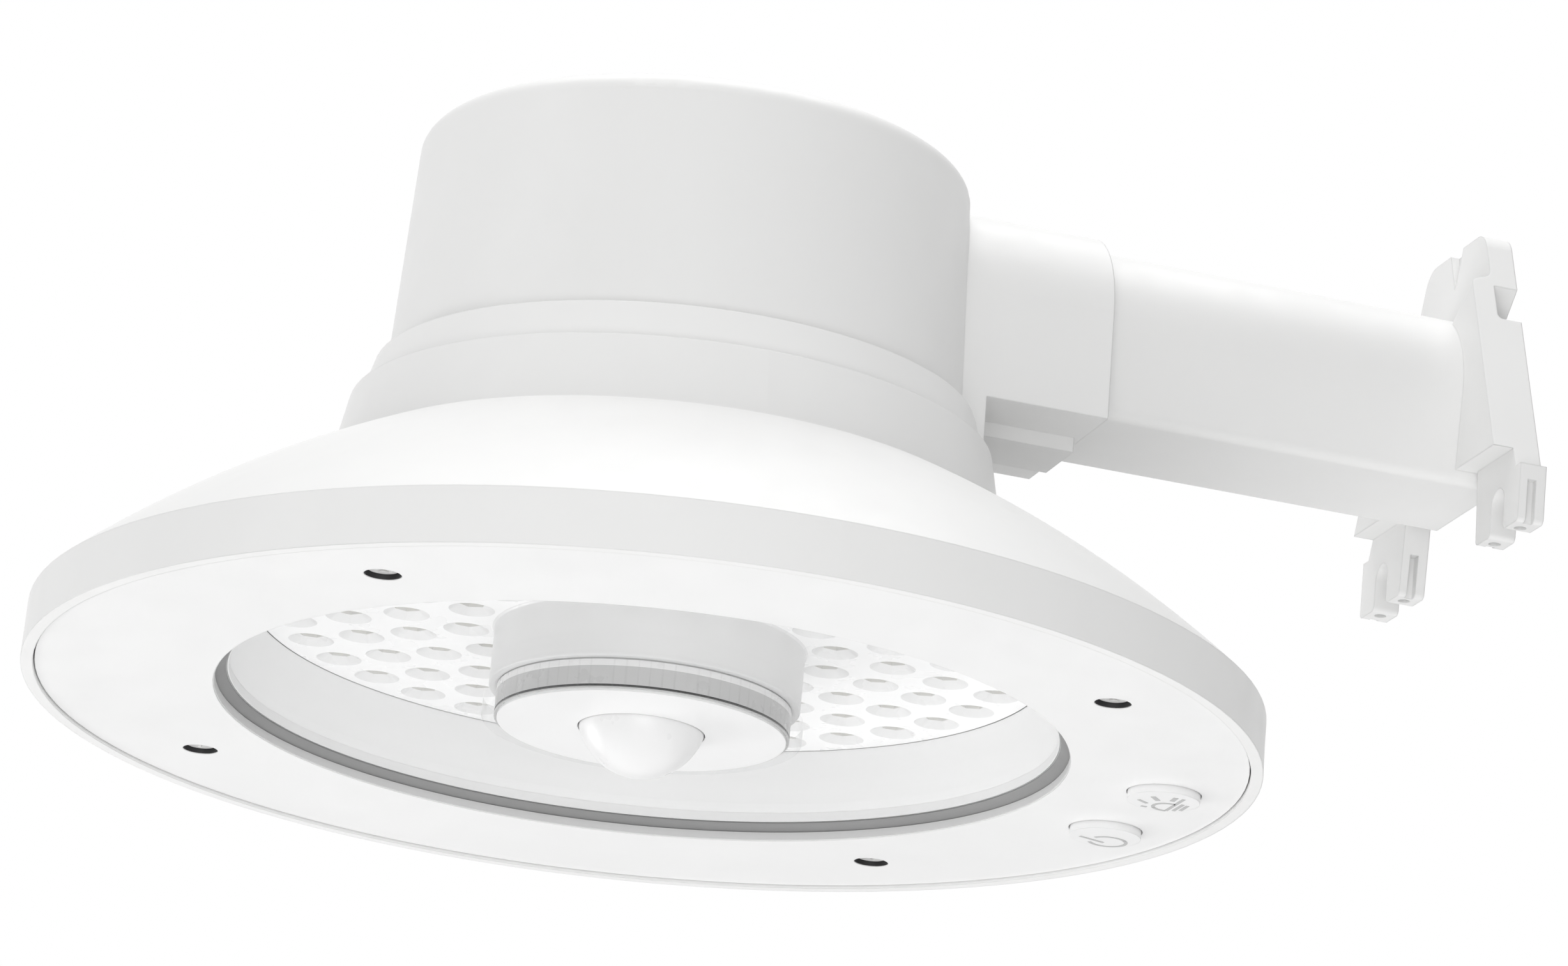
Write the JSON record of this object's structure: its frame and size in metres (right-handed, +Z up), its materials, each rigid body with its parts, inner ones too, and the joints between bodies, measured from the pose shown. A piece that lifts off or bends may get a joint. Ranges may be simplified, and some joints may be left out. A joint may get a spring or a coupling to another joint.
{
  "type": "solar security light",
  "caption": "Round solar security light with a solar panel on its hub, a cup reflector, a movement sensor, two push buttons and a short arm with a flange for a wall bracket",
  "frame": {"origin": "middle of the row of screw holes in the lower end of the flange's legs, on their end face", "axes": "+Z up, +Y towards the wall, so the lamp head stands out along -Y and lights downwards along -Z; X runs across the arm"},
  "size_m": [0.26, 0.3115, 0.15],
  "materials": {
    "white_shell": "fine-grained white moulding",
    "white_arm": "fine-grained white moulding",
    "white_cover": "fine-grained white moulding",
    "white_button": "smooth white with a raised sign",
    "clear_lens": "clear moulded plastic",
    "clear_panel_cover": "clear plastic over the cells",
    "solar_blue": "dark silicon cells",
    "board_green": "green circuit board",
    "board_white": "white-coated aluminium board",
    "reflector_white": "bright moulded cups",
    "ring_grey": "light grey moulding",
    "led_yellow": "phosphor-coated light source",
    "black_rubber": "black seal",
    "sensor_white": "smooth white moulding",
    "eye_white": "milky translucent plastic",
    "bright_metal": "plated steel",
    "dark_plastic": "black moulding",
    "cell_wrap": "blue sleeve",
    "socket_white": "off-white nylon",
    "copper": "wound copper"
  },
  "bodies": {
    "lamp": {"head_shell": "white_shell", "solar_cover": "clear_panel_cover", "solar_cells": "solar_blue", "solar_board": "dark_plastic", "panel_seal": "black_rubber", "front_cover": "white_cover", "front_screws": "bright_metal", "lens": "clear_lens", "lens_seal": "black_rubber", "optics_ring": "ring_grey", "reflector": "reflector_white", "leds": "led_yellow", "led_board": "board_white", "optics_screws": "bright_metal", "sensor_housing": "sensor_white", "sensor_seal": "black_rubber", "sensor_screws": "bright_metal", "sensor_eye": "eye_white", "sensor_board": "board_green", "pyro_sensor": "bright_metal", "mode_switch": "dark_plastic", "power_switch": "dark_plastic", "button_seals": "black_rubber", "switch_board": "board_green", "switch_screws": "bright_metal", "wall_arm": "white_arm", "arm_screws": "bright_metal", "battery_cells": "cell_wrap", "battery_cradle": "dark_plastic", "battery_strap": "bright_metal", "cradle_screws": "bright_metal", "main_board": "board_green", "board_screws": "bright_metal", "control_chips": "dark_plastic", "capacitors": "dark_plastic", "charge_coil": "copper", "lead_sockets": "socket_white"},
    "mode_button_body": {"mode_button": "white_button", "mode_plunger": "dark_plastic"},
    "power_button_body": {"power_button": "white_button", "power_plunger": "dark_plastic"}
  },
  "joints": [
    {"name": "mode_press", "type": "slide", "parent": "lamp", "child": "mode_button_body", "axis": [0, 0, 1], "range_m": [0, 0.0008], "stiffness_N_per_m": 2500},
    {"name": "power_press", "type": "slide", "parent": "lamp", "child": "power_button_body", "axis": [0, 0, 1], "range_m": [0, 0.0008], "stiffness_N_per_m": 2500}
  ]
}
